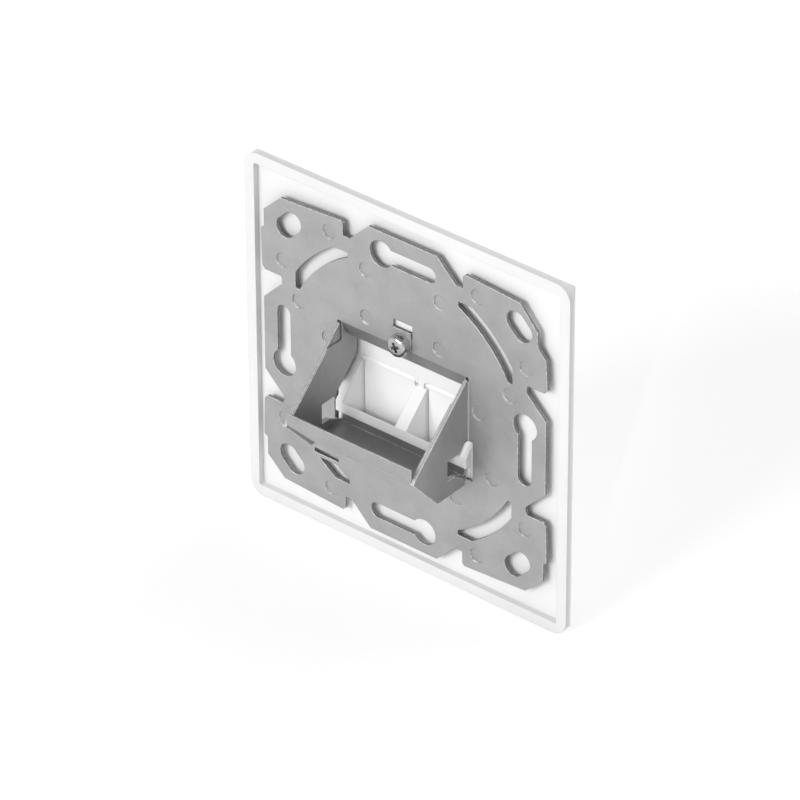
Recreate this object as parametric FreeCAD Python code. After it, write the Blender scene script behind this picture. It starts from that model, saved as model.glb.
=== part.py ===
"""Flush two-port outlet for keystone modules, 80 x 80 mm, with a steel support plate.

The origin is the centre of the outlet on the wall plane, which is the rear face of the
support plate. +Z is up, -Y is the room side (front) and +Y points into the wall box.
All sizes are in millimetres.
"""
import FreeCAD, Part
import math
import os

V = FreeCAD.Vector

# Cover frame
frame_side = 80.0            # outer width and height of the moulded frame
frame_corner_r = 3.5         # outer corner radius
frame_rim_w = 2.4            # width of the raised rim that meets the wall
frame_rim_back = 0.6         # the rim stays this far in front of the wall plane
frame_recess = 1.3           # depth of the recess floor below the rim
frame_side_h = 1.1           # straight part of the outer side, before the dome starts
frame_front = 8.3            # distance of the frame's front face from the wall plane
frame_flat_half = 29.5       # half width of the flat front face around the window
frame_window_half = 20.0     # half width of the passage through the frame
frame_recess_r = 0.5         # corner radius of the recess

# Centre plate
plate_side = 50.0            # width and height of the centre plate
plate_gap = 0.25             # gap all round between centre plate and frame
plate_panel_t = 2.6          # thickness of the front panel
plate_panel_back = 5.6       # distance of the panel's rear face from the wall plane
plate_edge_r = 0.7           # rounding of the front edges
plate_corner_r = 1.2

# Module holder behind the centre plate, two bays side by side
bay_w = 13.3                 # clear width of one bay
bay_divider_w = 2.8          # web between the bays
bay_cheek_t = 1.6            # outer side wall of the holder
bay_shoulder = 0.7           # the holder is wider by this much in front of the support plate
bay_lip_back = 0.8           # rear end of the holder, behind the wall plane
bay_lip_top = -7.6           # upper edge of the lower rear band
bay_lip_h = 2.4              # height of the lower rear band
bay_foot = -14.8             # lowest level of the holder, in front of the support plate
bay_shelf_gap = 0.3          # clearance between the holder and the hopper floor
bay_plate_gap = 0.2          # clearance between the holder and the support plate

# Dust flaps
flap_gap = 0.35              # clearance at each side of a flap
flap_t = 1.5                 # thickness of a flap
flap_recess = 0.9            # the flap's face lies this far behind the panel's face
flap_hinge_r = 0.85          # radius of the hinge barrel
flap_pin_r = 0.6             # radius of the trunnions
flap_pin_l = 1.0             # length of each trunnion
flap_pin_fit = 0.05          # radial running clearance in the bearing
flap_hinge_z = -0.6          # height of the hinge axis
flap_top_gap = 0.25          # gap between the barrel and the doorway's upper edge
flap_grip_h = 1.2            # height of the finger ledge on the flap
flap_grip_out = 0.8          # how far the ledge stands out

# Label field above the flaps
label_w = 31.0
label_h = 8.0
label_z = 13.5               # height of the label's middle
label_recess = 1.2           # depth of the pocket in the panel
label_rim = 0.8              # ledge that carries the window around the paper
label_paper_t = 0.25
label_window_t = 0.8
label_fit = 0.1              # clearance around the window

# Steel support plate
sheet_t = 0.7                # thickness of the steel sheet
bend_r = 0.3                 # inside radius of the folds
wing_out = 35.0              # distance of the four wings' edges from the centre
wing_half = 8.4              # half length of a wing's straight edge
wing_root = 30.3             # where a wing's chamfer ends beside the notch
ear_in = 14.8                # inner edges of the corner ears
ear_top_in = 33.6            # outer edge of an ear, beside the notch
ear_top_out = 32.7           # outer edge of an ear, beside the corner chamfer
ear_side = 34.7              # narrower side part of an ear, at the corner
ear_side_wide = 35.5         # wider side part of an ear
ear_step = 24.2              # level of the step between them
ear_trim = 1.9               # one ear is cut deeper by this much at its corner
ear_chamfer_x = 30.4
ear_chamfer_z = 28.6
ear_notch = 30.6             # depth of the notches between ears and wings
corner_slot_x = 28.4         # middles of the slanting corner slots
corner_slot_z = 27.3
corner_slot_w = 4.6
corner_slot_l = 7.0
key_pitch = 60.0             # distance between opposite screw slots
key_slot_w = 3.4             # width of the narrow part of a screw slot
key_head_d = 5.8             # width of its round end, for the screw's head
key_head_at = 5.2            # distance of the round end from the middle
key_slot_end = 8.2           # distance of the narrow end from the middle
arc_r_in = 29.2              # curved slots for other box patterns
arc_r_out = 31.9
arc_box = 26.9               # the curved slots are cut square at this distance
arc_end = 13.6               # and end here
slit_from = -22.6            # slit and short slot in one corner, as seen from behind
slit_to = -16.4
slit_top = -21.9
slit_w = 1.0
short_arc_top = -23.7
dimple_r = 1.6               # half-sheared dimples that space the plate from the frame
dimple_wall = 0.2
dimple_depth = 0.25
dimple_sides = 16            # the dimples are this many-sided
dimple_pairs = [             # middles of the dimples that come in mirrored pairs
    (18.3, 29.8), (30.1, 18.6), (18.3, -29.8), (30.1, -18.4), (9.2, 24.8),
    (9.0, 14.1), (26.2, 10.7), (21.9, -10.2), (13.2, -18.4),
]
dimple_singles = [(-18.75, 3.6), (18.75, 5.2)]   # the two beside the hopper's walls

# Hopper behind the plate's opening
hopper_half = 16.2           # half of the outer width between the walls
hopper_top = 10.6            # where the walls and the upper flange leave the plate
hopper_reach = 16.7          # how far the walls reach behind the wall plane
hopper_tip_z = -5.2          # height of the walls' rearmost point
hopper_foot = -13.6          # lower edge of the walls
hopper_heel_y = 9.0          # where the slope of the floor starts
hopper_heel_r = 1.6
fold_foot = -3.8             # the walls are joined to the plate down to this level
relief_half = 17.3           # half width of the relief slots beside the walls
relief_foot = -12.9
window_back = 6.3            # window in each wall for the holder's side
window_top = -5.5
window_foot = -9.9
window_knee = 4.0            # where the window's lower edge starts to fall towards the plate
window_fall = 2.2
wall_front = 1.0             # free front edge of the walls below the window
flange_l = 4.4               # upper flange, bent towards the room
flange_angle = 28.0
flange_clear = 0.05          # clearance between the flange's ends and the cheeks

# Module cradle, a thinner folded sheet nested in the hopper
cradle_t = 0.3               # thickness of its sheet
cradle_fit = 0.02            # clearance between the cradle and the support plate
cradle_foot = -12.7          # underside of its floor
cradle_inset = 0.1           # its edges stay this far inside the walls' edges
cradle_front = -0.2          # front edge of its floor and of the cheeks' feet
cradle_fore = -4.4           # how far the cheeks reach into the room side
cheek_top = 6.4              # upper edge of the cheeks behind the plate
cheek_sum = -3.1             # y + z along the cheeks' slanting front edge
lip_top = -2.4               # upper edge of the rear lip
lip_inset = 0.3              # its rear face stays this far inside the walls' tips
strap_foot = 11.0            # cross strap in front of the plate
strap_top = 14.2
dimple_clear = 0.3           # clearance of the strap's holes around the dimples

# Tongue of the cradle, hooked through the plate, and the screw
tab_half = 2.25              # half width of the tongue
tab_foot = 8.9               # its free lower end
tab_foot_half = 0.9          # half width at the free end
tab_knee = 11.0              # where the chamfers of the free end start
tab_top = 15.0               # upper end of the tongue, above the strap
tab_gap = 0.15               # clearance of the tongue in the plate's slot
tab_slot_top = 16.6          # top of the punched slot
backing_over = 1.2           # the pad behind the slot is larger than it by this much
screw_z = 12.0
screw_head_r = 2.3
screw_head_h = 2.1
screw_dome_h = 0.7           # height of the rounding on the screw's head
screw_shank_r = 1.0
screw_tip = -4.9             # how far the screw reaches into the boss
screw_play = 0.25            # clearance in the holes of tongue, plate and strap
screw_bite = 0.03            # clearance in the boss's hole
screw_cross_w = 0.6
screw_cross_l = 2.5
screw_cross_depth = 1.1
boss_r = 1.7


def box(x0, x1, y0, y1, z0, z1):
    """Return a block between two corners."""
    return Part.makeBox(x1 - x0, y1 - y0, z1 - z0, V(x0, y0, z0))


def front_face(points, y):
    """Return a flat face parallel to the wall from (x, z) points."""
    corners = [V(x, y, z) for x, z in points]
    return Part.Face(Part.makePolygon(corners + corners[:1]))


def slab(points, y0, y1):
    """Return a sheet cut to (x, z) points, from y0 to y1."""
    return front_face(points, y0).extrude(V(0, y1 - y0, 0))


def side_slab(points, x0, x1):
    """Return a solid with a (y, z) profile, from x0 to x1."""
    corners = [V(x0, y, z) for y, z in points]
    return Part.Face(Part.makePolygon(corners + corners[:1])).extrude(V(x1 - x0, 0, 0))


def rod(x, z, r, y0, y1):
    """Return a cylinder along Y."""
    return Part.makeCylinder(r, y1 - y0, V(x, y0, z), V(0, 1, 0))


def square_wire(half, r, y, x0=0.0, z0=0.0, half_z=None):
    """Return a rounded rectangle parallel to the wall."""
    hz = half if half_z is None else half_z
    k = r * (1 - math.sqrt(0.5))
    edges = []
    spots = [(1, 1), (-1, 1), (-1, -1), (1, -1)]
    for i, (sx, sz) in enumerate(spots):
        first = V(x0 + sx * half, y, z0 + sz * (hz - r))
        last = V(x0 + sx * (half - r), y, z0 + sz * hz)
        if sx * sz < 0:
            first, last = last, first
        middle = V(x0 + sx * (half - k), y, z0 + sz * (hz - k))
        edges.append(Part.Arc(first, middle, last).toShape())
    straight = []
    for i in range(4):
        a = edges[i].Vertexes[-1].Point
        b = edges[(i + 1) % 4].Vertexes[0].Point
        straight.append(Part.makeLine(a, b))
    return Part.Wire(Part.__sortEdges__(edges + straight))


def rounded_block(half, r, y0, y1, x0=0.0, z0=0.0, half_z=None):
    """Return a block with rounded upright corners."""
    wire = square_wire(half, r, y0, x0, z0, half_z)
    return Part.Face(wire).extrude(V(0, y1 - y0, 0))


def stud(x, z, r, y0, y1):
    """Return a many-sided prism along Y for a dimple or its dent."""
    points = []
    for i in range(dimple_sides):
        turn = 2 * math.pi * (i + 0.5) / dimple_sides
        points.append((x + r * math.cos(turn), z + r * math.sin(turn)))
    return slab(points, y0, y1)


def long_slot(x, z, width, length, angle, y0, y1):
    """Return a cutter for a slot with round ends, turned about Y."""
    r = width / 2
    run = length / 2 - r
    body = box(-run, run, y0, y1, -r, r)
    body = body.fuse([rod(-run, 0, r, y0, y1), rod(run, 0, r, y0, y1)]).removeSplitter()
    body.rotate(V(0, 0, 0), V(0, 1, 0), angle)
    body.translate(V(x, 0, z))
    return body


def mirror_x(shape):
    """Return a copy on the other side of the middle plane."""
    return shape.mirror(V(0, 0, 0), V(1, 0, 0))


def save(name, shape):
    """Write one piece as a STEP file."""
    shape = shape.removeSplitter()
    shape.exportStep("parts/" + name + ".step")
    print(name, len(shape.Solids), shape.isValid(), round(shape.Volume, 1))


rim_y = -frame_rim_back
floor_y = rim_y - frame_recess
frame_half = frame_side / 2
recess_half = frame_half - frame_rim_w
panel_back_y = -plate_panel_back
panel_front_y = panel_back_y - plate_panel_t
ledge_y = panel_back_y
plate_half = plate_side / 2


def dome_profile(side_y, front_y):
    """Return a face with the frame's section: straight sides, then arcs that end flat in front."""
    run = frame_half - frame_flat_half
    rise = side_y - front_y
    radius = (run * run + rise * rise) / (2 * rise)
    half_turn = math.asin(run / radius) / 2
    mid_in = radius * math.sin(half_turn)
    mid_out = front_y + radius * (1 - math.cos(half_turn))
    ends = []
    for side in (-1, 1):
        flat_end = V(side * frame_flat_half, front_y, 0)
        middle = V(side * (frame_flat_half + mid_in), mid_out, 0)
        ends.append(Part.Arc(flat_end, middle, V(side * frame_half, side_y, 0)).toShape())
    rim_left = V(-frame_half, rim_y, 0)
    rim_right = V(frame_half, rim_y, 0)
    lines = [
        Part.makeLine(V(-frame_flat_half, front_y, 0), V(frame_flat_half, front_y, 0)),
        Part.makeLine(V(-frame_half, side_y, 0), rim_left),
        Part.makeLine(rim_left, rim_right),
        Part.makeLine(rim_right, V(frame_half, side_y, 0)),
    ]
    return Part.Face(Part.Wire(Part.__sortEdges__(ends + lines)))


def make_cover_frame():
    """Return the moulded frame: rim, recess floor, domed front and stepped window."""
    side_y = rim_y - frame_side_h
    front_y = -frame_front
    upright = dome_profile(side_y, front_y)
    upright.translate(V(0, 0, -frame_half))
    level = upright.copy()
    level.rotate(V(0, 0, 0), V(0, 1, 0), 90)
    body = upright.extrude(V(0, 0, frame_side)).common(level.extrude(V(frame_side, 0, 0)))
    body = body.common(rounded_block(frame_half, frame_corner_r, front_y - 1, rim_y + 1))
    recess = rounded_block(recess_half, frame_recess_r, floor_y, rim_y + 1)
    window = rounded_block(frame_window_half, plate_corner_r, front_y - 1, rim_y + 1)
    rebate = rounded_block(plate_half + plate_gap, plate_corner_r + plate_gap, front_y - 1, ledge_y)
    return body.cut(recess).cut(window).cut(rebate)


cradle_half = hopper_half - sheet_t - cradle_fit
holder_half = bay_divider_w / 2 + bay_w + bay_cheek_t
bay_mid_x = bay_divider_w / 2 + bay_w / 2
lip_foot = bay_lip_top - bay_lip_h
panel_sum = bay_lip_back + bay_lip_top
bay_front_foot = bay_lip_top - (bay_lip_back - panel_back_y)
shelf_top = cradle_foot + cradle_t
flap_foot_z = bay_front_foot + flap_gap
strap_front = -sheet_t - cradle_fit - cradle_t
hinge_y = panel_front_y + flap_recess + flap_t / 2
flap_half = bay_w / 2 - flap_gap


def make_centre_plate():
    """Return the centre plate with its slanting two-bay holder, boss and label pocket."""
    panel = rounded_block(plate_half, plate_corner_r, panel_front_y, panel_back_y)
    rim = [e for e in panel.Edges if abs(e.BoundBox.YMax - panel_front_y) < 1e-6]
    panel = panel.makeFillet(plate_edge_r, rim)
    under = shelf_top + bay_shelf_gap
    front_of_sheet = -sheet_t - bay_plate_gap
    profile = [
        (panel_back_y - 0.5, panel_sum - panel_back_y + 0.5),
        (bay_lip_back, bay_lip_top),
        (bay_lip_back, lip_foot),
        (front_of_sheet + 0.4, lip_foot),
        (front_of_sheet + 0.4, under),
        (front_of_sheet, under),
        (front_of_sheet, bay_foot),
        (panel_back_y - 0.5, bay_foot),
    ]
    holder = side_slab(profile, -holder_half, holder_half)
    stop_profile = [
        (panel_back_y - 0.5, panel_sum - panel_back_y + 0.5),
        (front_of_sheet, panel_sum - front_of_sheet),
        (front_of_sheet, bay_foot),
        (panel_back_y - 0.5, bay_foot),
    ]
    stop_half = holder_half + bay_shoulder
    body = panel.fuse([holder, side_slab(stop_profile, -stop_half, stop_half)])
    for side in (-1, 1):
        x = side * bay_mid_x
        pocket = [
            (panel_back_y, panel_sum - panel_back_y + 3),
            (bay_lip_back + 3, bay_lip_top + 3),
            (panel_back_y, bay_front_foot),
        ]
        body = body.cut(side_slab(pocket, x - bay_w / 2, x + bay_w / 2))
        door = box(x - bay_w / 2, x + bay_w / 2, panel_front_y - 1, panel_back_y + 0.01,
                   bay_front_foot, flap_hinge_z + flap_hinge_r + flap_top_gap)
        body = body.cut(door)
        body = body.cut(hinge_slots(x))
    boss = rod(0, screw_z, boss_r, panel_back_y - 0.5, strap_front)
    pilot = rod(0, screw_z, screw_shank_r + screw_bite, screw_tip - 0.4, 0)
    wide = tab_half + tab_gap + backing_over
    backing = box(-wide, wide, panel_back_y - 0.5, front_of_sheet, strap_top + bay_shelf_gap,
                  tab_slot_top + backing_over)
    body = body.fuse([boss, backing]).cut(pilot)
    pocket = rounded_block(label_w / 2, 0.8, panel_front_y - 1, panel_front_y + label_recess,
                           0, label_z, label_h / 2)
    bed = rounded_block(label_w / 2 - label_rim, 0.4, panel_front_y - 1,
                        panel_front_y + label_recess + label_paper_t, 0, label_z,
                        label_h / 2 - label_rim)
    return body.cut(pocket).cut(bed)


def hinge_slots(x):
    """Return the cutter for the two bearings of a flap, open towards the rear."""
    r = flap_pin_r + flap_pin_fit
    reach = bay_w / 2 - flap_gap + flap_pin_l + 0.1
    bore = Part.makeCylinder(r, 2 * reach, V(x - reach, hinge_y, flap_hinge_z), V(1, 0, 0))
    entry = box(x - reach, x + reach, hinge_y, panel_back_y + 0.01, flap_hinge_z - r, flap_hinge_z + r)
    return bore.fuse(entry)


def make_flap(side):
    """Return one dust flap, closed, with its hinge barrel, trunnions and finger ledge."""
    x = side * bay_mid_x
    y_back = hinge_y + flap_t / 2
    y_front = hinge_y - flap_t / 2
    leaf = box(x - flap_half, x + flap_half, y_front, y_back, flap_foot_z, flap_hinge_z)
    barrel = Part.makeCylinder(flap_hinge_r, 2 * flap_half, V(x - flap_half, hinge_y, flap_hinge_z), V(1, 0, 0))
    pin_reach = flap_half + flap_pin_l
    pins = Part.makeCylinder(flap_pin_r, 2 * pin_reach, V(x - pin_reach, hinge_y, flap_hinge_z), V(1, 0, 0))
    grip_profile = [
        (y_front + 0.2, flap_foot_z),
        (y_front - flap_grip_out, flap_foot_z),
        (y_front - flap_grip_out, flap_foot_z + 0.5),
        (y_front + 0.2, flap_foot_z + flap_grip_h + 0.4),
    ]
    grip = side_slab(grip_profile, x - flap_half + 2, x + flap_half - 2)
    return leaf.fuse([barrel, pins, grip])


def make_label_paper():
    """Return the paper strip under the label window."""
    y = panel_front_y + label_recess
    return rounded_block(label_w / 2 - label_rim - label_fit, 0.3, y, y + label_paper_t, 0, label_z,
                         label_h / 2 - label_rim - label_fit)


def make_label_window():
    """Return the clear window that snaps into the label pocket, with a pry notch."""
    y = panel_front_y + label_recess
    half = label_w / 2 - label_fit
    body = rounded_block(half, 0.7, y - label_window_t, y, 0, label_z, label_h / 2 - label_fit)
    notch = rod(half, label_z, 0.9, y - label_window_t - 1, y - label_window_t / 2)
    return body.cut(notch)


def ear_points(sx, sz):
    """Return the outline of one corner ear, from its inner top to its inner side."""
    trim = ear_trim if (sx, sz) == (-1, 1) else 0.0
    pts = [
        (ear_in, wing_root + 0.1),
        (ear_in, ear_top_in - 0.5),
        (ear_in + 0.5, ear_top_in),
        (ear_chamfer_x - trim, ear_top_out),
        (ear_side - trim, ear_chamfer_z - trim / 2),
        (ear_side - trim, ear_step + 0.4),
        (ear_side_wide - trim / 3, ear_step - 0.2 - trim),
        (ear_side_wide - 0.2, ear_in + 0.8),
        (ear_side_wide - 0.9, ear_in),
        (ear_notch, ear_in),
        (wing_root, ear_in - 0.6),
    ]
    return [(sx * x, sz * z) for x, z in pts]


def plate_outline():
    """Return the outline of the support plate, going round from the top wing."""
    chamfer = wing_out - wing_root
    wing_end = wing_half + chamfer
    outline = [(-wing_half, wing_out), (wing_half, wing_out), (wing_end, wing_root)]
    outline += ear_points(1, 1)
    outline += [(wing_root, wing_end), (wing_out, wing_half), (wing_out, -wing_half), (wing_root, -wing_end)]
    outline += list(reversed(ear_points(1, -1)))
    outline += [(wing_end, -wing_root), (wing_half, -wing_out), (-wing_half, -wing_out), (-wing_end, -wing_root)]
    outline += ear_points(-1, -1)
    outline += [(-wing_root, -wing_end), (-wing_out, -wing_half), (-wing_out, wing_half), (-wing_root, wing_end)]
    outline += list(reversed(ear_points(-1, 1)))
    outline += [(-wing_end, wing_root)]
    return outline


def arc_slot(turn):
    """Return the cutter of one curved slot, turned about Y by a number of degrees."""
    y0 = -sheet_t - 1
    ring = rod(0, 0, arc_r_out, y0, 1).cut(rod(0, 0, arc_r_in, y0, 1))
    sector = box(arc_end, arc_box, y0, 1, arc_end, arc_box)
    slot = ring.common(sector)
    slot.rotate(V(0, 0, 0), V(0, 1, 0), turn)
    return slot


def key_slot(turn):
    """Return the cutter of one keyhole-shaped screw slot, turned about Y."""
    y0 = -sheet_t - 1
    r = key_slot_w / 2
    mid = key_pitch / 2
    narrow_x = -(key_slot_end - r)
    head = rod(key_head_at, mid, key_head_d / 2, y0, 1)
    run = box(narrow_x, key_head_at, y0, 1, mid - r, mid + r)
    slot = head.fuse([run, rod(narrow_x, mid, r, y0, 1)])
    slot.rotate(V(0, 0, 0), V(0, 1, 0), turn)
    return slot


def dimple_spots():
    """Return the middles of the dimples, most of them mirrored left to right."""
    mirrored = [(-x, z) for x, z in dimple_pairs]
    return dimple_pairs + mirrored + dimple_singles


def make_support_plate():
    """Return the stamped plate with its folded side walls, upper flange and screw tab."""
    body = slab(plate_outline(), -sheet_t, 0)
    y0 = -sheet_t - 1
    cutters = []
    for turn in (0, 90, 180, 270):
        cutters.append(key_slot(turn))
    for turn in (0, 180, 270):
        cutters.append(arc_slot(turn))
    short_arc = arc_slot(90).common(box(0, wing_out, y0 - 1, 2, -wing_out, short_arc_top))
    cutters.append(short_arc)
    cutters.append(box(-slit_to, -slit_from, y0, 1, slit_top - slit_w, slit_top))
    for sx in (-1, 1):
        for sz in (-1, 1):
            cutters.append(long_slot(sx * corner_slot_x, sz * corner_slot_z, corner_slot_w,
                                     corner_slot_l, 45 * sx * sz, y0, 1))
    cutters.append(hopper_opening())
    body = body.cut(cutters)
    bosses = [stud(x, z, dimple_r + dimple_wall, floor_y, -sheet_t + 0.01) for x, z in dimple_spots()]
    dents = [stud(x, z, dimple_r, -dimple_depth, 1) for x, z in dimple_spots()]
    body = body.fuse(bosses).cut(dents)
    wall = hopper_wall()
    body = body.fuse([wall, mirror_x(wall), upper_flange()])
    slot_foot = strap_top - cradle_t - tab_gap
    wide = tab_half + tab_gap
    body = body.cut(box(-wide, wide, y0, 1, slot_foot, tab_slot_top))
    return body.cut(rod(0, screw_z, screw_shank_r + screw_play, y0, 1))


def hopper_opening():
    """Return the cutter of the plate's opening with the relief slots beside the walls."""
    y0 = -sheet_t - 1
    inner = hopper_half - sheet_t
    fold = hopper_half + bend_r
    points = [
        (-fold, hopper_top), (-fold, fold_foot), (-relief_half, fold_foot), (-relief_half, relief_foot),
        (-inner, relief_foot), (-inner, hopper_foot), (inner, hopper_foot), (inner, relief_foot),
        (relief_half, relief_foot), (relief_half, fold_foot), (fold, fold_foot), (fold, hopper_top),
    ]
    return slab(points, y0, 1)


def hopper_wall():
    """Return the right-hand wall with its fold at the plate and its window."""
    x_in = hopper_half - sheet_t
    slope = (hopper_tip_z - hopper_top) / hopper_reach
    tip_cut = 0.7
    heel = hopper_heel_y
    profile = [
        (bend_r, hopper_top + slope * bend_r),
        (hopper_reach - tip_cut, hopper_tip_z - slope * tip_cut),
        (hopper_reach, hopper_tip_z - 0.2),
        (heel + hopper_heel_r, hopper_foot + hopper_heel_r * 0.95),
        (heel + hopper_heel_r * 0.3, hopper_foot + 0.2),
        (heel - 0.4, hopper_foot),
        (wall_front, hopper_foot),
        (wall_front, window_foot - window_fall),
        (window_knee, window_foot - 0.1),
        (window_back, window_foot),
        (window_back, window_top),
        (2.6, window_top + 0.2),
        (wall_front, fold_foot),
        (bend_r, fold_foot),
    ]
    wall = side_slab(profile, x_in, hopper_half)
    centre_x = hopper_half + bend_r
    height = hopper_top - fold_foot
    ring = Part.makeCylinder(bend_r + sheet_t, height, V(centre_x, bend_r, fold_foot), V(0, 0, 1))
    ring = ring.cut(Part.makeCylinder(bend_r, height, V(centre_x, bend_r, fold_foot), V(0, 0, 1)))
    quarter = ring.common(box(x_in, centre_x, -sheet_t, bend_r, fold_foot, hopper_top))
    top_trim = side_slab([(-2, hopper_top), (bend_r + 1, hopper_top + slope * (bend_r + 1)),
                          (bend_r + 1, hopper_top + 2), (-2, hopper_top + 2)], x_in - 1, centre_x - 0.2)
    return wall.fuse(quarter.cut(top_trim))


def upper_flange():
    """Return the flange at the opening's upper edge, bent towards the room."""
    lean = math.radians(flange_angle)
    dy = -math.sin(lean)
    dz = -math.cos(lean)
    inner = cradle_half - cradle_t - flange_clear
    end_y = flange_l * dy
    end_z = hopper_top + flange_l * dz
    profile = [
        (0, hopper_top + 0.6),
        (0, hopper_top),
        (end_y, end_z),
        (end_y + sheet_t * dz, end_z - sheet_t * dy),
        (-sheet_t, hopper_top + sheet_t * math.tan(lean / 2)),
        (-sheet_t, hopper_top + 0.6),
    ]
    return side_slab(profile, -inner, inner)


def cradle_strip():
    """Return the cradle's floor and rear lip with their folds."""
    low = cradle_foot
    heel = hopper_heel_y
    tip_y = hopper_reach - lip_inset
    tip_z = hopper_tip_z + cradle_inset
    lean = math.atan((tip_z - low) / (tip_y - heel))
    knee = cradle_t * math.tan(lean / 2)
    lip_knee = cradle_t * math.tan((math.pi / 2 - lean) / 2)
    profile = [
        (cradle_front, low),
        (heel, low),
        (tip_y, tip_z),
        (tip_y, lip_top),
        (tip_y - cradle_t, lip_top),
        (tip_y - cradle_t, tip_z + lip_knee),
        (heel - knee, low + cradle_t),
        (cradle_front + cradle_t, low + cradle_t),
        (cradle_front + cradle_t, lip_foot - bay_shelf_gap),
        (cradle_front, lip_foot - bay_shelf_gap),
    ]
    body = side_slab(profile, -cradle_half, cradle_half)
    folds = [
        (heel, low, hopper_heel_r + cradle_t),
        (heel - knee, low + cradle_t, hopper_heel_r),
        (tip_y, tip_z, bend_r + cradle_t),
        (tip_y - cradle_t, tip_z + lip_knee, bend_r),
    ]
    for y, z, radius in folds:
        body = body.makeFillet(radius, [e for e in body.Edges if is_edge_at(e, y, z)])
    return body


def cradle_cheek():
    """Return the right-hand cheek, which lines the wall and reaches in front of the plate."""
    slope = (hopper_tip_z - hopper_top) / hopper_reach
    run = cradle_inset * math.sqrt(1 + slope * slope)
    top_y = (cheek_top + run - hopper_top) / slope
    tip_z = hopper_tip_z + cradle_inset + 0.9
    tip_y = (tip_z + run - hopper_top) / slope
    plate_front = -sheet_t - cradle_fit
    heel_z = cradle_foot + cradle_t / 2
    fill_y = -flange_clear
    fill_top = hopper_top - tab_gap
    profile = [
        (fill_y, cheek_top),
        (top_y, cheek_top),
        (tip_y, tip_z),
        (hopper_reach - 0.9, hopper_tip_z + cradle_inset + 0.1),
        (hopper_heel_y + 1.2, heel_z + 1.3),
        (hopper_heel_y - 0.6, heel_z),
        (cradle_front, heel_z),
        (cradle_front, window_foot - window_fall),
        (window_knee, window_foot - 0.1),
        (window_back, window_foot),
        (window_back, window_top),
        (cheek_sum - window_top, window_top),
        (cradle_fore, cheek_sum - cradle_fore),
        (cradle_fore, strap_top),
        (plate_front, strap_top),
        (plate_front, fill_top),
        (fill_y, fill_top),
    ]
    return side_slab(profile, cradle_half - cradle_t, cradle_half)


def make_module_cradle():
    """Return the folded cradle: floor, lip, two cheeks, cross strap and screw tongue."""
    cheek = cradle_cheek()
    plate_front = -sheet_t - cradle_fit
    strap = box(-cradle_half, cradle_half, strap_front, plate_front, strap_foot, strap_top)
    tongue = [(-tab_foot_half, tab_foot), (tab_foot_half, tab_foot), (tab_half, tab_knee),
              (tab_half, tab_top), (-tab_half, tab_top), (-tab_half, tab_knee)]
    back = cradle_fit + cradle_t
    step = [(strap_front, strap_top - cradle_t), (strap_front, strap_top), (back, tab_top),
            (back, tab_top - cradle_t)]
    hook = side_slab(step, -tab_half, tab_half)
    body = cradle_strip().fuse([cheek, mirror_x(cheek), strap, slab(tongue, cradle_fit, back), hook])
    clear = dimple_r + dimple_wall + dimple_clear
    for x, z in dimple_spots():
        if strap_foot < z < strap_top:
            body = body.cut(rod(x, z, clear, strap_front - 1, plate_front + 0.01))
    return body.cut(rod(0, screw_z, screw_shank_r + screw_play, strap_front - 1, back + 1))


def is_edge_at(edge, y, z):
    """Tell whether an edge runs along X through a point of the profile."""
    b = edge.BoundBox
    if b.XMax - b.XMin < 1:
        return False
    return abs(b.YMin - y) < 1e-4 and abs(b.YMax - y) < 1e-4 and abs(b.ZMin - z) < 1e-4 and abs(b.ZMax - z) < 1e-4


def make_screw():
    """Return the cross-head screw that holds the centre plate to the tab."""
    head_y = cradle_fit + cradle_t
    top_y = head_y + screw_head_h
    r = screw_head_r
    profile = [
        Part.makeLine(V(0, screw_tip - 0.3, 0), V(0, top_y, 0)),
        Part.Arc(V(0, top_y, 0), V(r * 0.72, top_y - screw_dome_h * 0.4, 0), V(r, top_y - screw_dome_h, 0)).toShape(),
        Part.makeLine(V(r, top_y - screw_dome_h, 0), V(r, head_y + 0.15, 0)),
        Part.makeLine(V(r, head_y + 0.15, 0), V(r - 0.15, head_y, 0)),
        Part.makeLine(V(r - 0.15, head_y, 0), V(screw_shank_r, head_y, 0)),
        Part.makeLine(V(screw_shank_r, head_y, 0), V(screw_shank_r, screw_tip + 0.5, 0)),
        Part.makeLine(V(screw_shank_r, screw_tip + 0.5, 0), V(0.5, screw_tip - 0.3, 0)),
        Part.makeLine(V(0.5, screw_tip - 0.3, 0), V(0, screw_tip - 0.3, 0)),
    ]
    face = Part.Face(Part.Wire(profile))
    body = face.revolve(V(0, 0, 0), V(0, 1, 0), 360)
    body.translate(V(0, 0, screw_z))
    half_w = screw_cross_w / 2
    half_l = screw_cross_l / 2
    low = top_y - screw_cross_depth
    for angle in (0, 90):
        arm = [(-half_l * 0.35, low), (half_l * 0.35, low), (half_l, top_y + 0.1), (-half_l, top_y + 0.1)]
        corners = [V(-half_w, y, w) for w, y in arm]
        cutter = Part.Face(Part.makePolygon(corners + corners[:1])).extrude(V(2 * half_w, 0, 0))
        cutter.rotate(V(0, 0, 0), V(0, 1, 0), angle + 20)
        cutter.translate(V(0, 0, screw_z))
        body = body.cut(cutter)
    return body


def main():
    """Build every piece and write it."""
    os.makedirs("parts", exist_ok=True)
    save("cover_frame", make_cover_frame())
    save("centre_plate", make_centre_plate())
    save("support_plate", make_support_plate())
    save("module_cradle", make_module_cradle())
    save("fixing_screw", make_screw())
    save("dust_flap_left", make_flap(-1))
    save("dust_flap_right", make_flap(1))
    save("label_strip", make_label_paper())
    save("label_window", make_label_window())


main()
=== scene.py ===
"""Dresses the flush keystone outlet: steel support plate, hopper, mouldings and screw."""

import logging
import math
from dataclasses import dataclass, field
from enum import Enum

import bpy
from mathutils import Matrix, Vector

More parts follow.
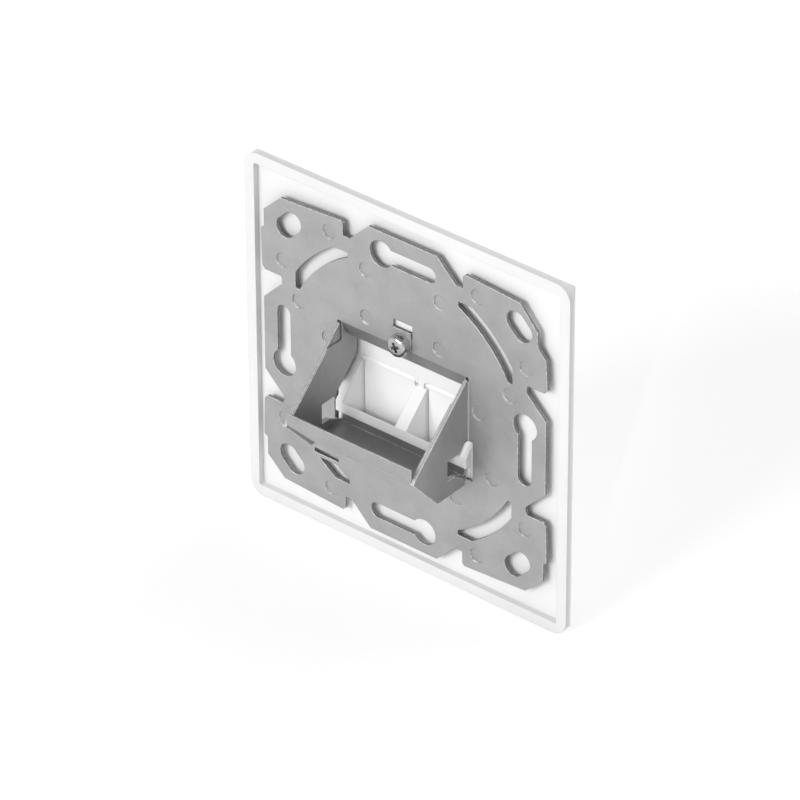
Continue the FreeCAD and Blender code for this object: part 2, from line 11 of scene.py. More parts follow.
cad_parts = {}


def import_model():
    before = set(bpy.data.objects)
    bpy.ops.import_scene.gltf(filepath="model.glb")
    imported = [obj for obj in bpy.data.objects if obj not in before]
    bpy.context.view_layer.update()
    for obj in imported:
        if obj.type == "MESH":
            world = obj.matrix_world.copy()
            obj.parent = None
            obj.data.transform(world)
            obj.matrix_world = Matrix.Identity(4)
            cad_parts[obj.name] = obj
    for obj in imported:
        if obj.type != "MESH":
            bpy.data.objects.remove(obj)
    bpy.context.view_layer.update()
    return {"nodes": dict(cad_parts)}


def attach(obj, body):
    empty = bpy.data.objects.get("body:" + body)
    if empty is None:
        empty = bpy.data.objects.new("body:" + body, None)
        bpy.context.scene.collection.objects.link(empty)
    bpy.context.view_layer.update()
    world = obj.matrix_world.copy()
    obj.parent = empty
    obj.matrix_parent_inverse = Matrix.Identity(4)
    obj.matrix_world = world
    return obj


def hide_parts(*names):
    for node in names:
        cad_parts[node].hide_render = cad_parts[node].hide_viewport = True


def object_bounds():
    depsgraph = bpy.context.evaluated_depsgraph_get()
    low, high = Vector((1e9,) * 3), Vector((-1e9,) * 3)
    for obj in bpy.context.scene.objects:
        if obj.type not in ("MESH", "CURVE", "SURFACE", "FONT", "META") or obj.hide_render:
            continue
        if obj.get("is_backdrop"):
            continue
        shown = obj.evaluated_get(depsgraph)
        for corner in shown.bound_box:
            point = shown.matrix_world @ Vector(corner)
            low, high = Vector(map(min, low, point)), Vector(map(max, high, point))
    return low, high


log = logging.getLogger("outlet")

MM = 0.001
SMOOTH_BELOW = math.radians(35)      # faces that meet at less than this are shaded smooth


class Side(Enum):
    """The two bays, named as seen from the room."""

    LEFT = "left"
    RIGHT = "right"


class Graph:
    """A small helper that fills the node tree of one material or world."""

    def __init__(self, tree: bpy.types.NodeTree) -> None:
        """Empty the tree.

        Args:
            tree: the node tree to fill.
        """
        self.tree = tree
        tree.nodes.clear()

    def add(self, kind: str, **values: object) -> bpy.types.Node:
        """Add a node and set its properties and inputs.

        Args:
            kind: the node's class name without the leading ShaderNode.
            values: properties by name, or inputs with the prefix in_ and the
                socket's name in lower case with underscores.

        Returns:
            The new node.
        """
        node = self.tree.nodes.new("ShaderNode" + kind)
        for key, value in values.items():
            if key.startswith("in_"):
                wanted = key[3:].replace("_", " ")
                names = [s for s in node.inputs if s.name.lower() == wanted]
                self.put(names[0], value)
            elif key.startswith("at_"):
                self.put(node.inputs[int(key[3:])], value)
            else:
                setattr(node, key, value)
        return node

    def put(self, socket: bpy.types.NodeSocket, value: object) -> None:
        """Set a socket to a constant, or link it to another socket.

        Args:
            socket: the input socket.
            value: a number, a tuple or an output socket.
        """
        if isinstance(value, bpy.types.NodeSocket):
            self.tree.links.new(value, socket)
        elif isinstance(value, tuple) and len(value) == 3 and socket.type == "RGBA":
            socket.default_value = (*value, 1.0)
        else:
            socket.default_value = value

    def place(self) -> bpy.types.NodeSocket:
        """Return the piece's own coordinates in metres."""
        return self.add("TexCoord").outputs["Object"]

    def noise(self, scale: float, detail: float = 2.0, stretch: tuple = (1, 1, 1)) -> bpy.types.NodeSocket:
        """Return a noise value on the piece's own coordinates.

        Args:
            scale: waves per metre.
            detail: octaves.
            stretch: factors along the three axes.

        Returns:
            The noise's factor output.
        """
        mapping = self.add("Mapping", in_vector=self.place(), in_scale=stretch)
        return self.add(
            "TexNoise", in_vector=mapping.outputs[0], in_scale=scale, in_detail=detail
        ).outputs[0]

    def ramp(
        self, value: bpy.types.NodeSocket, low: float, high: float, out_low: float, out_high: float
    ) -> bpy.types.NodeSocket:
        """Return a value mapped from one range to another and clamped.

        Args:
            value: the input.
            low: the input that gives out_low.
            high: the input that gives out_high.
            out_low: the lowest result.
            out_high: the highest result.

        Returns:
            The mapped value's socket.
        """
        return self.add(
            "MapRange", at_0=value, at_1=low, at_2=high, at_3=out_low, at_4=out_high
        ).outputs[0]

    def spread(self, noise: bpy.types.NodeSocket, out_low: float, out_high: float) -> bpy.types.NodeSocket:
        """Return a noise's usual span mapped to a range of its own.

        Args:
            noise: the noise value.
            out_low: the lowest result.
            out_high: the highest result.

        Returns:
            The mapped value's socket.
        """
        return self.ramp(noise, 0.3, 0.7, out_low, out_high)

    def grey(self, tone: bpy.types.NodeSocket, blue: float = 1.0) -> bpy.types.NodeSocket:
        """Return a grey colour, which can lean to blue or away from it.

        Args:
            tone: the grey's value.
            blue: factor on the blue part.

        Returns:
            The colour's socket.
        """
        last = tone if blue == 1.0 else self.math("MULTIPLY", tone, blue)
        return self.add("CombineColor", at_0=tone, at_1=tone, at_2=last).outputs[0]

    def math(self, operation: str, a: object, b: object = 0.0) -> bpy.types.NodeSocket:
        """Return the result of a math node on two values.

        Args:
            operation: the node's operation.
            a: the first value or socket.
            b: the second value or socket.

        Returns:
            The result's socket.
        """
        return self.add("Math", operation=operation, at_0=a, at_1=b).outputs[0]

    def mix(self, factor: object, a: object, b: object) -> bpy.types.NodeSocket:
        """Return a colour mixed from two colours.

        Args:
            factor: the share of the second colour, 0 to 1.
            a: the first colour.
            b: the second colour.

        Returns:
            The mixed colour's socket.
        """
        node = self.add("Mix", data_type="RGBA")
        self.put(node.inputs[0], factor)
        self.put(node.inputs[6], a)
        self.put(node.inputs[7], b)
        return node.outputs[2]

    def edge(self, radius: float) -> tuple:
        """Return a rounded normal and a mask of the sharp edges.

        Args:
            radius: the edge's rounding in metres.

        Returns:
            The rounded normal's socket and the mask's socket, 0 on flat areas.
        """
        bevel = self.add("Bevel", samples=6, in_radius=radius)
        plain = self.add("NewGeometry").outputs["Normal"]
        dot = self.add("VectorMath", operation="DOT_PRODUCT", at_0=bevel.outputs[0], at_1=plain)
        mask = self.ramp(dot.outputs["Value"], 0.998, 0.92, 0.0, 1.0)
        return bevel.outputs[0], mask

    def bump(
        self, height: bpy.types.NodeSocket, depth: float, normal: bpy.types.NodeSocket
    ) -> bpy.types.NodeSocket:
        """Return a normal with a fine relief.

        Args:
            height: the relief's height, 0 to 1.
            depth: the real depth in metres.
            normal: the normal below it.

        Returns:
            The normal's socket.
        """
        return self.add(
            "Bump", in_height=height, in_strength=1.0, in_distance=depth, in_normal=normal
        ).outputs[0]

    def finish(self, **inputs: object) -> None:
        """End the tree in one principled shader.

        Args:
            inputs: the shader's inputs, in lower case with underscores.
        """
        shader = self.add("BsdfPrincipled", **{"in_" + k: v for k, v in inputs.items()})
        output = self.add("OutputMaterial")
        self.tree.links.new(shader.outputs[0], output.inputs[0])


def new_material(name: str) -> tuple:
    """Return a new node material and its graph.

    Args:
        name: the material's name.

    Returns:
        The material and a Graph on its tree.
    """
    material = bpy.data.materials.new(name)
    material.use_nodes = True
    return material, Graph(material.node_tree)


@dataclass(frozen=True)
class SheetSteel:
    """Zinc-plated sheet with rolled grain and faint cloudiness, its cut faces painted darker as shade, and a
    painted highlight on the edges that face up and towards -X and on all edges behind the plate.
    """

    name: str
    tone: float = 0.39
    cloud: float = 0.03
    roughness: float = 0.5
    metal: float = 0.75
    # tone of the cut faces, drawn darker as painted shade
    cut_shade_tone: float = 0.26
    highlight_radius: float = 0.2 * MM
    highlight_tone: float = 1.0
    highlight_facing: tuple = (-0.707, 0.0, 0.707)
    highlight_walls_from: float = 0.5 * MM

    def painted_edge_highlight(self, g: Graph, depth: bpy.types.NodeSocket) -> tuple:
        """Return the rounded normal and a mask of the painted edge highlight.

        The highlight is painted on the edges whose rounded normal faces up and towards -X, and on all edges
        behind the plate.

        Args:
            g: the material's graph.
            depth: the object coordinates' Y socket.

        Returns:
            The rounded normal's socket and the mask's socket.
        """
        normal, edge = g.edge(self.highlight_radius)
        # painted highlight: edges whose rounded normal leans this way are drawn bright
        dot = g.add("VectorMath", operation="DOT_PRODUCT", at_0=normal, at_1=self.highlight_facing)
        side = g.ramp(dot.outputs["Value"], 0.12, 0.35, 0.0, 1.0)
        # painted highlight on all edges behind the plate
        walls = g.ramp(depth, self.highlight_walls_from - 0.05 * MM, self.highlight_walls_from + 0.05 * MM, 0.0, 0.8)
        patch = g.ramp(g.noise(1400.0, 2.0), 0.4, 0.56, 0.3, 1.0)
        return normal, g.math("MULTIPLY", g.math("MULTIPLY", edge, patch), g.math("MAXIMUM", side, walls))

    def cut_face(self, g: Graph, depth: bpy.types.NodeSocket) -> bpy.types.NodeSocket:
        """Return a mask of the plate's cut faces.

        Args:
            g: the material's graph.
            depth: the object coordinates' Y socket.

        Returns:
            The mask's socket, 1 on a cut face.
        """
        facing = g.add("SeparateXYZ", at_0=g.add("NewGeometry").outputs["Normal"]).outputs[1]
        across = g.ramp(g.math("ABSOLUTE", facing), 0.4, 0.5, 1.0, 0.0)
        return g.math("MULTIPLY", across, g.ramp(depth, 0.02 * MM, 0.06 * MM, 1.0, 0.0))

    def build(self) -> bpy.types.Material:
        """Return the sheet's material."""
        material, g = new_material(self.name)
        depth = g.add("SeparateXYZ", at_0=g.place()).outputs[1]
        normal, bright = self.painted_edge_highlight(g, depth)
        cloud = g.noise(160.0, 3.0)
        grain = g.noise(2600.0, 2.0, (1.0, 1.0, 0.3))
        speck = g.noise(900.0, 4.0)
        tone = g.spread(cloud, self.tone - self.cloud, self.tone + self.cloud)
        tone = g.math("ADD", tone, g.spread(grain, -0.007, 0.007))
        tone = g.math("ADD", tone, g.ramp(speck, 0.35, 0.65, -0.006, 0.006))
        # painted shade: the plate's cut faces are drawn darker
        tone = g.math("ADD", tone, g.math("MULTIPLY", self.cut_face(g, depth), self.cut_shade_tone - self.tone))
        colour = g.grey(tone, 1.004)
        # painted highlight: the edge mask mixes the colour towards a light grey
        colour = g.mix(bright, colour, (self.highlight_tone, self.highlight_tone, self.highlight_tone))
        rough = g.spread(cloud, self.roughness - 0.03, self.roughness + 0.05)
        relief = g.bump(grain, 0.0015 * MM, normal)
        g.finish(base_color=colour, metallic=self.metal, roughness=rough, normal=relief)
        return material


@dataclass(frozen=True)
class WhiteMoulding:
    """Satin white plastic with the faint texture of a mould."""

    name: str
    tone: float = 0.86
    roughness: float = 0.34
    edge_radius: float = 0.22 * MM
    rim_from: float = 37.6 * MM
    rim_back: float = -1.4 * MM
    rim_drop: float = 0.06
    shade: float = 0.0
    shade_reach: float = 6.0 * MM

    def rim(self, g: Graph) -> bpy.types.NodeSocket:
        """Return a mask of the rim round the back of the cover frame, which is drawn darker.

        Args:
            g: the material's graph.

        Returns:
            The mask's socket, 1 on the rim.
        """
        place = g.add("SeparateXYZ", at_0=g.place()).outputs
        far = g.math("MAXIMUM", g.math("ABSOLUTE", place[0]), g.math("ABSOLUTE", place[2]))
        outside = g.ramp(far, self.rim_from - 0.05 * MM, self.rim_from + 0.05 * MM, 0.0, 1.0)
        behind = g.ramp(place[1], self.rim_back - 0.1 * MM, self.rim_back + 0.1 * MM, 0.0, 1.0)
        return g.math("MULTIPLY", outside, behind)

    def build(self) -> bpy.types.Material:
        """Return the moulding's material."""
        material, g = new_material(self.name)
        normal, edge = g.edge(self.edge_radius)
        cloud = g.noise(90.0, 3.0)
        tone = g.spread(cloud, self.tone - 0.008, self.tone + 0.008)
        # the rim is drawn darker than the rest of the frame
        tone = g.math("SUBTRACT", tone, g.math("MULTIPLY", self.rim(g), self.rim_drop))
        if self.shade:
            near = g.add("AmbientOcclusion", samples=8, in_distance=self.shade_reach).outputs["AO"]
            tone = g.math("MULTIPLY", tone, g.ramp(near, 0.35, 0.95, 1.0 - self.shade, 1.0))
        # painted highlight: sharp edges drawn a little lighter
        tone = g.math("ADD", tone, g.math("MULTIPLY", edge, 0.015))
        colour = g.grey(tone, 0.997)
        fine = g.noise(5200.0, 2.0)
        rough = g.spread(cloud, self.roughness - 0.02, self.roughness + 0.03)
        relief = g.bump(fine, 0.002 * MM, normal)
        g.finish(
            base_color=colour, roughness=rough, normal=relief, ior=1.49, subsurface_weight=0.08,
            subsurface_radius=(1.0, 1.0, 1.0), subsurface_scale=0.6 * MM,
        )
        return material


@dataclass(frozen=True)
class ZincScrew:
    """Bright plated steel of the screw."""

    name: str
    tone: float = 0.46
    roughness: float = 0.2

    def build(self) -> bpy.types.Material:
        """Return the screw's material."""
        material, g = new_material(self.name)
        normal, edge = g.edge(0.07 * MM)
        cloud = g.noise(1500.0, 3.0)
        tone = g.spread(cloud, self.tone - 0.05, self.tone + 0.05)
        # painted highlight: the head's edges drawn lighter
        tone = g.math("ADD", tone, g.math("MULTIPLY", edge, 0.2))
        colour = g.grey(tone)
        rough = g.spread(cloud, self.roughness - 0.05, self.roughness + 0.08)
        g.finish(base_color=colour, metallic=1.0, roughness=rough, normal=normal)
        return material


@dataclass(frozen=True)
class LabelCard:
    """Plain white card of the label strip."""

    name: str

    def build(self) -> bpy.types.Material:
        """Return the card's material."""
        material, g = new_material(self.name)
        fibre = g.noise(3500.0, 5.0)
        tone = g.spread(fibre, 0.83, 0.88)
        colour = g.grey(tone, 0.985)
        normal = g.add("NewGeometry").outputs["Normal"]
        g.finish(base_color=colour, roughness=0.85, normal=g.bump(fibre, 0.01 * MM, normal))
        return material


@dataclass(frozen=True)
class ClearWindow:
    """Clear plastic over the label."""

    name: str
    cover: float = 0.12

    def build(self) -> bpy.types.Material:
        """Return the window's material."""
        material, g = new_material(self.name)
        haze = g.noise(400.0, 3.0)
        rough = g.spread(haze, 0.05, 0.12)
        g.finish(base_color=(0.9, 0.92, 0.92), roughness=rough, ior=1.49, alpha=self.cover)
        return material


def select_only(obj: bpy.types.Object) -> None:
    """Make one object the only selected and active one.

    Args:
        obj: the object.
    """
    bpy.ops.object.select_all(action="DESELECT")
    obj.select_set(True)
    bpy.context.view_layer.objects.active = obj


def settle(obj: bpy.types.Object) -> None:
    """Move an object's place and turn into its mesh.

    Args:
        obj: the object.
    """
    select_only(obj)
    bpy.ops.object.transform_apply(location=True, rotation=True, scale=True)


def apply_modifiers(obj: bpy.types.Object) -> None:
    """Apply every modifier of an object in order.

    Args:
        obj: the object.

    Raises:
        RuntimeError: if a modifier leaves the object without faces.
    """
    select_only(obj)
    for modifier in list(obj.modifiers):
        name = modifier.name
        bpy.ops.object.modifier_apply(modifier=name)
        if not obj.data.polygons:
            raise RuntimeError(f"{obj.name}: nothing is left after {name}")


def join(pieces: list) -> bpy.types.Object:
    """Join several meshes into the first one.

    Args:
        pieces: the objects to join.

    Returns:
        The joined object.
    """
    select_only(pieces[0])
    for piece in pieces[1:]:
        piece.select_set(True)
    bpy.ops.object.join()
    return pieces[0]


def box_of(obj: bpy.types.Object) -> tuple:
    """Return the lowest and highest corner of an object's mesh.

    Args:
        obj: the object.

    Returns:
        Two vectors in metres.
    """
    corners = [obj.matrix_world @ Vector(c) for c in obj.bound_box]
    low = Vector([min(c[i] for c in corners) for i in range(3)])
    high = Vector([max(c[i] for c in corners) for i in range(3)])
    return low, high


def paint(obj: bpy.types.Object, material: bpy.types.Material) -> None:
    """Give every material slot of a piece the same finish.

    Args:
        obj: the piece.
        material: the finish.
    """
    if not obj.material_slots:
        obj.data.materials.append(material)
    for held in obj.material_slots:
        held.material = material


@dataclass
class Mouldings:
    """Cover frame, centre plate and dust flaps."""

    body: str = "outlet"
    nub_radius: float = 0.55 * MM
    nub_height: float = 0.22 * MM
    nub_x: float = 1.1 * MM
    nub_z: float = 0.4 * MM
    panel_back: float = -5.6 * MM
    finish: WhiteMoulding = field(default_factory=lambda: WhiteMoulding("white_moulding", 0.88, shade=0.1))
    insert_finish: WhiteMoulding = field(default_factory=lambda: WhiteMoulding("insert_moulding", 0.92))
    flap_finish: WhiteMoulding = field(default_factory=lambda: WhiteMoulding("flap_moulding", 0.93, 0.38))

    def dress(self, nodes: dict) -> None:
        """Give the moulded pieces their finish.

        Args:
            nodes: the fixed frame's pieces by name.
        """
        paint(nodes["cover_frame"], self.finish.build())
        log.info("cover_frame: white moulding")
        insert = self.insert_finish.build()
        paint(nodes["centre_plate"], insert)
        log.info("centre_plate: white moulding")
        flap = self.flap_finish.build()
        for side in Side:
            paint(nodes["dust_flap_" + side.value], flap)
            log.info("dust_flap_%s: white moulding", side.value)
        self.make_nub(insert)

    def make_nub(self, finish: bpy.types.Material) -> None:
        """Build the small gate mark on the centre plate's rear, above the divider.

        Args:
            finish: the moulding's material.
        """
        bpy.ops.object.select_all(action="DESELECT")
        bpy.ops.mesh.primitive_cylinder_add(
            vertices=28, radius=self.nub_radius, depth=self.nub_height,
            location=(self.nub_x, self.panel_back + self.nub_height / 2, self.nub_z),
            rotation=(math.pi / 2, 0, 0),
        )
        nub = bpy.context.object
        nub.name = "gate_mark"
        settle(nub)
        bevel = nub.modifiers.new("round", "BEVEL")
        bevel.width = self.nub_height * 0.4
        bevel.segments = 2
        apply_modifiers(nub)
        bpy.ops.object.shade_smooth_by_angle(angle=math.radians(40))
        paint(nub, finish)
        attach(nub, self.body)
        log.info("gate_mark: nub on the centre plate")


@dataclass
class SteelWork:
    """Support plate and module cradle."""

    plate_finish: SheetSteel = field(default_factory=lambda: SheetSteel("galvanised_sheet"))
    cradle_finish: SheetSteel = field(
        default_factory=lambda: SheetSteel("thin_sheet", 0.37, 0.02, 0.5, 0.75, 0.36, 0.14 * MM)
    )

    def dress(self, nodes: dict) -> None:
        """Give the sheet pieces their finish.

        Args:
            nodes: the fixed frame's pieces by name.
        """
        paint(nodes["support_plate"], self.plate_finish.build())
        log.info("support_plate: galvanised sheet")
        paint(nodes["module_cradle"], self.cradle_finish.build())
        log.info("module_cradle: thin sheet")


@dataclass
class LabelField:
    """Card and clear window in the centre plate."""

    body: str = "outlet"
    node: str = "label_window"
    air: float = 0.06 * MM
    corner: float = 0.7 * MM
    edge: float = 0.12 * MM
    notch_radius: float = 0.9 * MM
    card: LabelCard = field(default_factory=lambda: LabelCard("paper"))
    window: ClearWindow = field(default_factory=lambda: ClearWindow("clear_plastic"))

    def dress(self, nodes: dict) -> None:
        """Give the label's pieces their finish.

        Args:
            nodes: the fixed frame's pieces by name.
        """
        paint(nodes["label_strip"], self.card.build())
        log.info("label_strip: card")
        self.make_window(nodes[self.node])

    def make_window(self, solid: bpy.types.Object) -> None:
        """Model the clear window in the place of its plain solid, just off the card.

        Args:
            solid: the window's plain solid.
        """
        low, high = box_of(solid)
        back = high.y - self.air
        middle = Vector(((low.x + high.x) / 2, (low.y + back) / 2, (low.z + high.z) / 2))
        bpy.ops.object.select_all(action="DESELECT")
        bpy.ops.mesh.primitive_cube_add(size=1.0, location=middle)
        pane = bpy.context.object
        pane.name = "label_pane"
        pane.scale = (high.x - low.x, back - low.y, high.z - low.z)
        settle(pane)
        bpy.ops.object.mode_set(mode="EDIT")
        bpy.ops.mesh.select_mode(type="EDGE")
        bpy.ops.mesh.select_all(action="DESELECT")
        bpy.ops.object.mode_set(mode="OBJECT")
        for edge in pane.data.edges:
            ends = [pane.data.vertices[i].co for i in edge.vertices]
            edge.select = abs(ends[0].y - ends[1].y) > 1e-6
        bpy.ops.object.mode_set(mode="EDIT")
        bpy.ops.mesh.bevel(offset=self.corner, segments=8, profile=0.5, affect="EDGES")
        bpy.ops.object.mode_set(mode="OBJECT")
        cutter = self.make_notch_cutter(high.x, (low.y + high.y) / 2, middle.z)
        cut = pane.modifiers.new("notch", "BOOLEAN")
        cut.operation = "DIFFERENCE"
        cut.solver = "EXACT"
        cut.object = cutter
        apply_modifiers(pane)
        bpy.data.objects.remove(cutter, do_unlink=True)
        bevel = pane.modifiers.new("edges", "BEVEL")
        bevel.width = self.edge
        bevel.segments = 3
        bevel.limit_method = "ANGLE"
        bevel.angle_limit = math.radians(50)
        apply_modifiers(pane)
        bpy.ops.object.shade_smooth_by_angle(angle=SMOOTH_BELOW)
        paint(pane, self.window.build())
        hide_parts(self.node)
        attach(pane, self.body)
        log.info("label_pane: clear window with a pry notch")

    def make_notch_cutter(self, x: float, depth_to: float, z: float) -> bpy.types.Object:
        """Build the round cutter of the pry notch.

        Args:
            x: the window's right edge.
            depth_to: how far the notch reaches along Y.
            z: the window's middle height.

        Returns:
            The cutter, for a boolean cut.
        """
        length = 2 * MM
        bpy.ops.object.select_all(action="DESELECT")
        bpy.ops.mesh.primitive_cylinder_add(
            vertices=48, radius=self.notch_radius, depth=length,
            location=(x, depth_to - length / 2, z), rotation=(math.pi / 2, 0, 0),
        )
        cutter = bpy.context.object
        settle(cutter)
        return cutter


@dataclass
class FixingScrew:
    """The pan-head screw in the cradle's tongue, with its cross recess and point."""

    body: str = "outlet"
    node: str = "fixing_screw"
    head_height: float = 2.1 * MM
    dome: float = 0.75 * MM
    shank_radius: float = 1.0 * MM
    point: float = 0.8 * MM
    pitch: float = 0.8 * MM
    recess_length: float = 3.1 * MM
    recess_width: float = 0.8 * MM
    recess_depth: float = 1.2 * MM
    recess_turn: float = 24.0
    finish: ZincScrew = field(default_factory=lambda: ZincScrew("plated_screw"))

    def dress(self, nodes: dict) -> None:
        """Model the screw in the place of its plain solid.

        Args:
            nodes: the fixed frame's pieces by name.
        """
        low, high = box_of(nodes[self.node])
        radius = (high.x - low.x) / 2
        axis = Vector(((low.x + high.x) / 2, 0.0, (low.z + high.z) / 2))
        head = self.make_head(axis, radius, high.y)
        shank = self.make_shank(axis, low.y, high.y - self.head_height)
        screw = join([head, shank])
        screw.name = "screw"
        paint(screw, self.finish.build())
        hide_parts(self.node)
        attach(screw, self.body)
        log.info("screw: pan head of %.1f mm", radius * 2000)

    def make_head(self, axis: Vector, radius: float, top: float) -> bpy.types.Object:
        """Build the rounded head with its cross recess.

        Args:
            axis: a point on the screw's axis.
            radius: the head's radius.
            top: the highest point along Y.

        Returns:
            The head.
        """
        bpy.ops.object.select_all(action="DESELECT")
        bpy.ops.mesh.primitive_cylinder_add(
            vertices=72, radius=radius, depth=self.head_height,
            location=(axis.x, top - self.head_height / 2, axis.z), rotation=(-math.pi / 2, 0, 0),
        )
        head = bpy.context.object
        settle(head)
        bpy.ops.object.mode_set(mode="EDIT")
        bpy.ops.mesh.select_all(action="DESELECT")
        bpy.ops.object.mode_set(mode="OBJECT")
        for edge in head.data.edges:
            ends = [head.data.vertices[i].co for i in edge.vertices]
            edge.select = all(abs(co.y - top) < 1e-6 for co in ends)
        bpy.ops.object.mode_set(mode="EDIT")
        bpy.ops.mesh.select_mode(type="EDGE")
        bpy.ops.mesh.bevel(offset=self.dome, segments=8, profile=0.5, affect="EDGES")
        bpy.ops.object.mode_set(mode="OBJECT")
        for turn in (0.0, 90.0):
            arm = self.make_recess_arm(axis, top, turn + self.recess_turn)
            cut = head.modifiers.new("recess", "BOOLEAN")
            cut.operation = "DIFFERENCE"
            cut.solver = "EXACT"
            cut.object = arm
            apply_modifiers(head)
            bpy.data.objects.remove(arm, do_unlink=True)
        select_only(head)
        bpy.ops.object.shade_smooth_by_angle(angle=SMOOTH_BELOW)
        return head

    def make_recess_arm(self, axis: Vector, top: float, turn: float) -> bpy.types.Object:
        """Build one tapered arm of the cross recess.

        Args:
            axis: a point on the screw's axis.
            top: the head's highest point along Y.
            turn: the arm's angle about the axis in degrees.

        Returns:
            The arm, for a boolean cut.
        """
        bpy.ops.object.select_all(action="DESELECT")
        bpy.ops.mesh.primitive_cube_add(size=1.0, location=(0, 0, 0))
        arm = bpy.context.object
        arm.scale = (self.recess_length, 2 * self.recess_depth, self.recess_width)
        settle(arm)
        bpy.ops.object.mode_set(mode="EDIT")
        bpy.ops.mesh.select_mode(type="VERT")
        bpy.ops.mesh.select_all(action="DESELECT")
        bpy.ops.object.mode_set(mode="OBJECT")
        for vertex in arm.data.vertices:
            vertex.select = vertex.co.y < 0
        bpy.ops.object.mode_set(mode="EDIT")
        bpy.ops.transform.resize(
            value=(0.4, 1.0, 0.7), center_override=(0.0, -self.recess_depth, 0.0)
        )
        bpy.ops.object.mode_set(mode="OBJECT")
        arm.rotation_euler = (0.0, math.radians(turn), 0.0)
        arm.location = (axis.x, top, axis.z)
        settle(arm)
        return arm

    def make_shank(self, axis: Vector, tip: float, seat: float) -> bpy.types.Object:
        """Build the threaded shank with its point.

        Args:
            axis: a point on the screw's axis.
            tip: the lowest point along Y.
            seat: where the shank meets the head along Y.

        Returns:
            The shank.
        """
        body_length = seat - tip - self.point
        bpy.ops.object.select_all(action="DESELECT")
        bpy.ops.mesh.primitive_cylinder_add(
            vertices=40, radius=self.shank_radius * 0.86, depth=body_length,
            location=(axis.x, seat - body_length / 2, axis.z), rotation=(math.pi / 2, 0, 0),
        )
        core = bpy.context.object
        settle(core)
        pieces = [core]
        bpy.ops.object.select_all(action="DESELECT")
        bpy.ops.mesh.primitive_cone_add(
            vertices=40, radius1=self.shank_radius * 0.86, radius2=self.shank_radius * 0.2, depth=self.point,
            location=(axis.x, tip + self.point / 2, axis.z), rotation=(math.pi / 2, 0, 0),
        )
        point = bpy.context.object
        settle(point)
        pieces.append(point)
        count = int(body_length / self.pitch)
        for i in range(count):
            level = seat - body_length + self.pitch * (i + 0.5)
            for side in (-1, 1):
                bpy.ops.object.select_all(action="DESELECT")
                bpy.ops.mesh.primitive_cone_add(
                    vertices=40, radius1=self.shank_radius, radius2=self.shank_radius * 0.8,
                    depth=self.pitch * 0.24, location=(axis.x, level + side * self.pitch * 0.12, axis.z),
                    rotation=(-side * math.pi / 2, 0, 0),
                )
                ring = bpy.context.object
                settle(ring)
                pieces.append(ring)
        shank = join(pieces)
        select_only(shank)
        bpy.ops.object.shade_smooth_by_angle(angle=SMOOTH_BELOW)
        return shank


@dataclass(frozen=True)
class Lamp:
    """A soft square lamp that points at the origin."""

    name: str
    level: float
    size: float
    distance: float
    toward: tuple


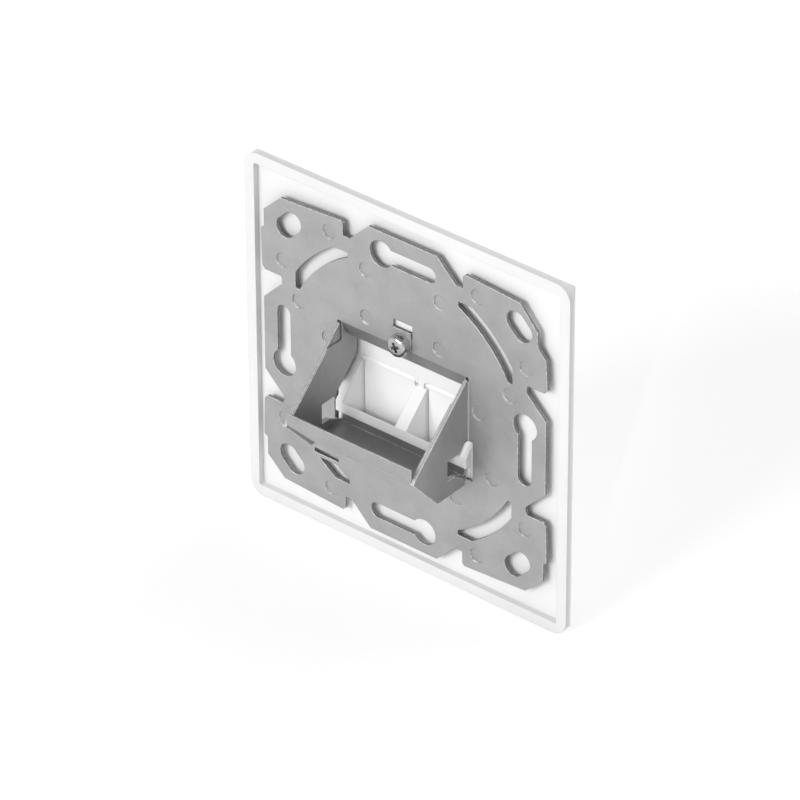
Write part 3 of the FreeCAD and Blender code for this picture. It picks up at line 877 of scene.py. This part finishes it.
@dataclass
class Studio:
    """Camera, floor, world and lamps."""

    azimuth: float = 219.576
    elevation: float = 33.825
    roll: float = -0.231
    distance: float = 1.1844
    aim_right: float = -0.00055
    aim_up: float = -0.00102
    lens: float = 276.54
    sensor: float = 36.0
    floor_drop: float = 0.2 * MM
    floor_half: float = 3.0
    floor_tone: float = 0.95
    floor_shown: float = 0.85
    floor_lift: float = 0.42
    world_level: float = 0.42
    ceiling_from: tuple = (0.3, 0.65)
    lamps: tuple = (
        Lamp("key", 0.63, 0.9, 1.8, (0.16, 0.90, 0.36)),
        Lamp("front", 0.32, 1.5, 1.8, (-0.25, -0.72, 0.62)),
    )
    spot_level: float = 0.62
    spot_distance: float = 1.5
    spot_from: tuple = (-0.40, 0.74, 0.54)
    spot_aim: tuple = (0.0, -3.0 * MM, -5.0 * MM)
    spot_angle: float = 1.9
    spot_radius: float = 0.03

    def axes(self) -> tuple:
        """Return the camera's right, up and backward directions."""
        a, e = math.radians(self.azimuth), math.radians(self.elevation)
        back = Vector((math.sin(a) * math.cos(e), -math.cos(a) * math.cos(e), math.sin(e)))
        right = Vector((math.cos(a), math.sin(a), 0.0))
        return right, back.cross(right), back

    def make_camera(self) -> None:
        """Stand the camera where the photograph was taken from."""
        right, up, back = self.axes()
        aim = right * self.aim_right + up * self.aim_up
        turn = math.radians(self.roll)
        side = right * math.cos(turn) + up * math.sin(turn)
        top = up * math.cos(turn) - right * math.sin(turn)
        data = bpy.data.cameras.new("camera")
        data.lens = self.lens
        data.sensor_width = self.sensor
        data.clip_start = 0.01
        data.clip_end = 50.0
        camera = bpy.data.objects.new("camera", data)
        bpy.context.scene.collection.objects.link(camera)
        turn_matrix = Matrix((side, top, back)).transposed().to_4x4()
        camera.matrix_world = Matrix.Translation(aim + back * self.distance) @ turn_matrix
        bpy.context.scene.camera = camera
        log.info("camera: %.1f mm lens at %.2f m", self.lens, self.distance)

    def make_floor(self) -> None:
        """Lay the plain pale floor just below the piece."""
        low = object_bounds()[0][2] - self.floor_drop
        bpy.ops.object.select_all(action="DESELECT")
        bpy.ops.mesh.primitive_plane_add(size=2 * self.floor_half, location=(0, 0, low))
        floor = bpy.context.object
        floor.name = "floor"
        material, g = new_material("floor")
        soft = g.noise(12.0, 2.0)
        seen = self.seen(g)
        tone = g.ramp(seen, 0.0, 1.0, self.floor_tone, self.floor_shown)
        tone = g.math("ADD", tone, g.spread(soft, -0.002, 0.002))
        colour = g.grey(tone)
        g.finish(
            base_color=colour, roughness=1.0, specular_ior_level=0.0,
            emission_color=(1.0, 1.0, 1.0, 1.0), emission_strength=g.math("MULTIPLY", seen, self.floor_lift),
        )
        paint(floor, material)
        floor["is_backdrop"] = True
        log.info("floor: plain and pale")

    @staticmethod
    def seen(g: Graph) -> bpy.types.NodeSocket:
        """Return 1 on rays from the camera or off metal or through glass, else 0.

        Args:
            g: the material's or world's graph.
        """
        path = g.add("LightPath").outputs
        seen = g.math("MAXIMUM", path["Is Camera Ray"], path["Is Glossy Ray"])
        return g.math("MAXIMUM", seen, path["Is Transmission Ray"])

    def make_world(self) -> None:
        """Fill the world with soft light and show it white round the horizon."""
        world = bpy.data.worlds.new("studio")
        bpy.context.scene.world = world
        world.use_nodes = True
        g = Graph(world.node_tree)
        rise = g.add("SeparateXYZ", at_0=g.add("TexCoord").outputs["Generated"]).outputs[2]
        backdrop = g.ramp(rise, self.ceiling_from[0], self.ceiling_from[1], 1.0, 0.0)
        level = g.ramp(g.math("MULTIPLY", self.seen(g), backdrop), 0.0, 1.0, self.world_level, 1.0)
        light = g.add("Background", in_color=(1.0, 1.0, 1.0), in_strength=level)
        output = g.add("OutputWorld")
        g.tree.links.new(light.outputs[0], output.inputs[0])

    @staticmethod
    def hang(data: bpy.types.Light, aim: Vector, toward: Vector, distance: float) -> None:
        """Hang a lamp that shines at a point.

        Args:
            data: the lamp's light.
            aim: the point that it shines at.
            toward: the direction from the point to the lamp.
            distance: how far the lamp is from the point.
        """
        lamp = bpy.data.objects.new(data.name, data)
        bpy.context.scene.collection.objects.link(lamp)
        lamp.location = aim + toward * distance
        lamp.rotation_mode = "QUATERNION"
        lamp.rotation_quaternion = toward.to_track_quat("Z", "Y")
        log.info("lamp: %s", data.name)

    def make_lamps(self) -> None:
        """Hang the large soft lamps."""
        for spec in self.lamps:
            toward = Vector(spec.toward).normalized()
            data = bpy.data.lights.new(spec.name, "AREA")
            data.shape = "SQUARE"
            data.size = spec.size
            data.energy = spec.level * (math.pi * spec.distance) ** 2
            self.hang(data, Vector((0.0, 0.0, 0.0)), toward, spec.distance)

    def make_spot(self) -> None:
        """Aim a narrow soft spot into the hopper, at the white bays."""
        toward = Vector(self.spot_from).normalized()
        data = bpy.data.lights.new("spot", "SPOT")
        data.energy = self.spot_level * (2 * math.pi * self.spot_distance) ** 2
        data.spot_size = math.radians(self.spot_angle)
        data.spot_blend = 1.0
        data.shadow_soft_size = self.spot_radius
        self.hang(data, Vector(self.spot_aim), toward, self.spot_distance)

    def build(self) -> None:
        """Set up the whole studio."""
        self.make_camera()
        self.make_floor()
        self.make_world()
        self.make_lamps()
        self.make_spot()
        bpy.context.scene.view_settings.view_transform = "Standard"


def main() -> None:
    """Load the frame and dress it, piece by piece."""
    logging.basicConfig(level=logging.INFO, format="%(name)s: %(message)s")
    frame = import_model()
    nodes = frame["nodes"]
    for part in (Mouldings(), SteelWork(), LabelField(), FixingScrew()):
        part.dress(nodes)
    Studio().build()


if __name__ == "__main__":
    main()
